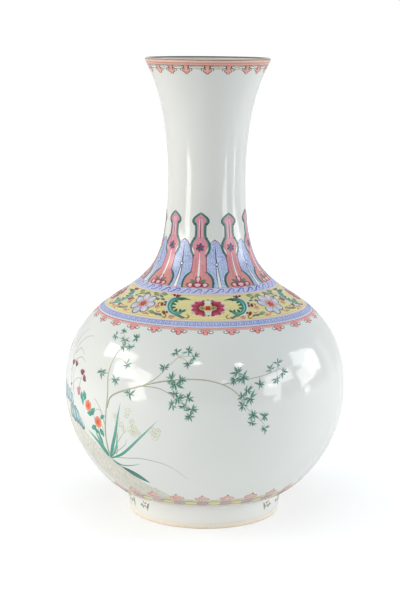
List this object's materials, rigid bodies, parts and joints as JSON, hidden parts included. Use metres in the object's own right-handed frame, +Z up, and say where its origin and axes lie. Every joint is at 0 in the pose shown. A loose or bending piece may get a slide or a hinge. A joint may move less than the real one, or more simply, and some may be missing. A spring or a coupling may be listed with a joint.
{
  "type": "globular vase",
  "caption": "Tall globular bottle vase with a trumpet neck, luted from thrown sections on a turned foot ring, hollow and open at the mouth.",
  "frame": {"origin": "centre of the foot ring's resting face", "axes": "+Z up along the vase's axis of revolution, from the foot to the mouth; -Y is the front that the picture shows"},
  "size_m": [0.2416, 0.2416, 0.3903],
  "materials": {
    "glazed_porcelain": "clear glossy glaze over cool white porcelain",
    "foot_porcelain": "glazed outside, bare and buff at the resting edge",
    "luting_slip": "fired slip, matt"
  },
  "bodies": {
    "root": {"foot_ring": "foot_porcelain", "foot_luting_slip": "luting_slip", "lower_body": "glazed_porcelain", "belly_luting_slip": "luting_slip", "upper_body": "glazed_porcelain", "shoulder_luting_slip": "luting_slip", "neck": "glazed_porcelain", "neck_luting_slip": "luting_slip", "flared_mouth": "glazed_porcelain"}
  },
  "joints": []
}
